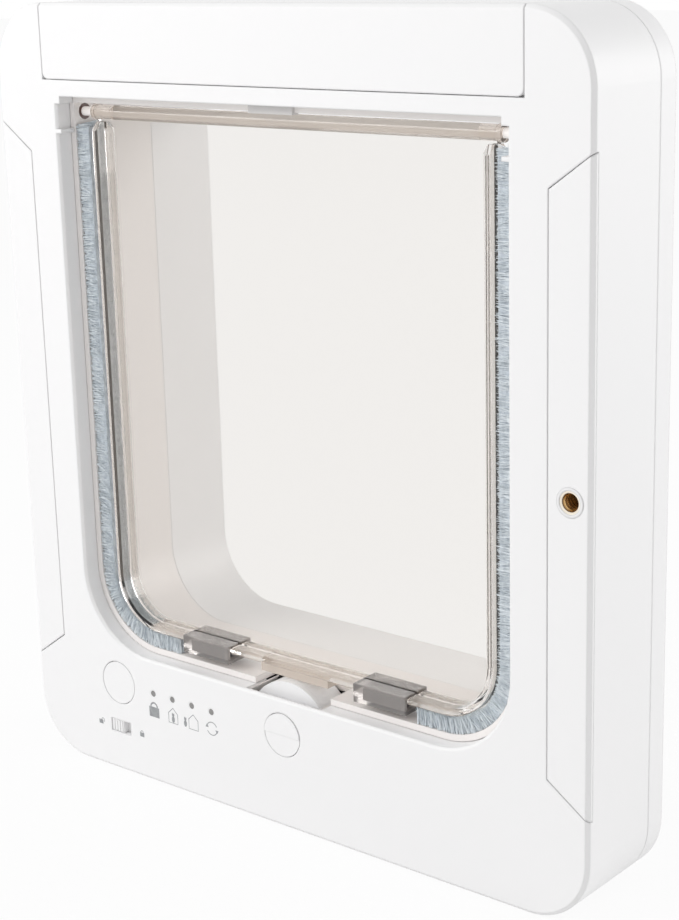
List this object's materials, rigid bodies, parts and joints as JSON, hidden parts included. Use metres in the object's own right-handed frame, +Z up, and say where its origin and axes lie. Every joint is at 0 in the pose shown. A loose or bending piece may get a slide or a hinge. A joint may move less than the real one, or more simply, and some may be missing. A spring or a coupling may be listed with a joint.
{
  "type": "cat flap",
  "caption": "Microchip cat flap in a white moulded casing: clear swinging flap between brush seals, mode button, status lamps, lock knob and a battery bay over the tunnel",
  "frame": {"origin": "Middle of the bounding box's base: halfway across, halfway through from the casing's front face to the spigot's end, and level with the casing's lower edge.", "axes": "+Z is up the door, +Y points through the door from the room side to the outside, +X is to the right as seen from the room."},
  "size_m": [0.2514, 0.0694, 0.2842],
  "materials": {
    "white_plastic": "satin",
    "clear_plastic": "clear moulded",
    "smoked_plastic": "smoked",
    "dark_plastic": "matt",
    "lamp_plastic": "gloss",
    "brush_pile": "woven pile",
    "brass": "turned",
    "steel": "plated",
    "magnet_metal": "sintered",
    "cell_jacket": "gloss",
    "copper_wire": "enamelled",
    "board": "solder mask"
  },
  "bodies": {
    "casing": {"front_housing": "white_plastic", "rear_housing": "white_plastic", "tunnel_frame": "white_plastic", "left_hinge_bush": "white_plastic", "right_hinge_bush": "white_plastic", "hinge_clip": "clear_plastic", "left_sill_magnet": "magnet_metal", "right_sill_magnet": "magnet_metal", "left_brush_seal": "brush_pile", "right_brush_seal": "brush_pile", "battery_tray": "dark_plastic", "battery_cells": "cell_jacket", "battery_contacts": "steel", "threaded_inserts": "brass", "housing_screws": "steel", "lamp_guides": "lamp_plastic", "status_leds": "lamp_plastic", "circuit_board": "board", "board_screws": "steel", "button_switch": "dark_plastic", "slide_switch": "dark_plastic", "controller_chip": "dark_plastic", "lock_motor": "steel", "lock_bracket": "dark_plastic", "antenna_coil": "copper_wire"},
    "swing_flap": {"flap": "clear_plastic", "left_hinge_pin": "steel", "right_hinge_pin": "steel", "left_magnet_holder": "smoked_plastic", "right_magnet_holder": "smoked_plastic", "left_flap_magnet": "magnet_metal", "right_flap_magnet": "magnet_metal"},
    "battery_lid": {"battery_cover": "white_plastic"},
    "left_cover": {"left_side_cover": "white_plastic"},
    "right_cover": {"right_side_cover": "white_plastic"},
    "push_button": {"mode_button": "white_plastic"},
    "switch_slider": {"lock_switch": "white_plastic"},
    "lock_drum": {"lock_knob": "white_plastic", "lock_disc": "white_plastic"},
    "drive_pinion": {"motor_pinion": "brass"}
  },
  "joints": [
    {"name": "flap_swing", "type": "hinge", "parent": "casing", "child": "swing_flap", "pos_m": [0, -0.02355, 0.2464], "axis": [1, 0, 0], "range_deg": [-70, 70]},
    {"name": "battery_cover_pull", "type": "slide", "parent": "casing", "child": "battery_lid", "axis": [0, -1, 0], "range_m": [0, 0.04]},
    {"name": "left_cover_pull", "type": "slide", "parent": "casing", "child": "left_cover", "axis": [0, -1, 0], "range_m": [0, 0.012]},
    {"name": "right_cover_pull", "type": "slide", "parent": "casing", "child": "right_cover", "axis": [0, -1, 0], "range_m": [0, 0.012]},
    {"name": "mode_button_press", "type": "slide", "parent": "casing", "child": "push_button", "axis": [0, 1, 0], "range_m": [0, 0.001], "stiffness_N_per_m": 300},
    {"name": "lock_switch_slide", "type": "slide", "parent": "casing", "child": "switch_slider", "axis": [1, 0, 0], "range_m": [0, 0.0038]},
    {"name": "lock_knob_turn", "type": "hinge", "parent": "casing", "child": "lock_drum", "pos_m": [0, -0.03475, 0.03535], "axis": [0, -1, 0], "range_deg": [-270, 0]},
    {"name": "drive_pinion_turn", "type": "hinge", "parent": "casing", "child": "drive_pinion", "pos_m": [0.01144, -0.0141, 0.02505], "axis": [0, -1, 0], "range_deg": [0, 720]}
  ],
  "couplings": [
    {"joint": "drive_pinion_turn", "follows": "lock_knob_turn", "ratio": -2.6667}
  ]
}
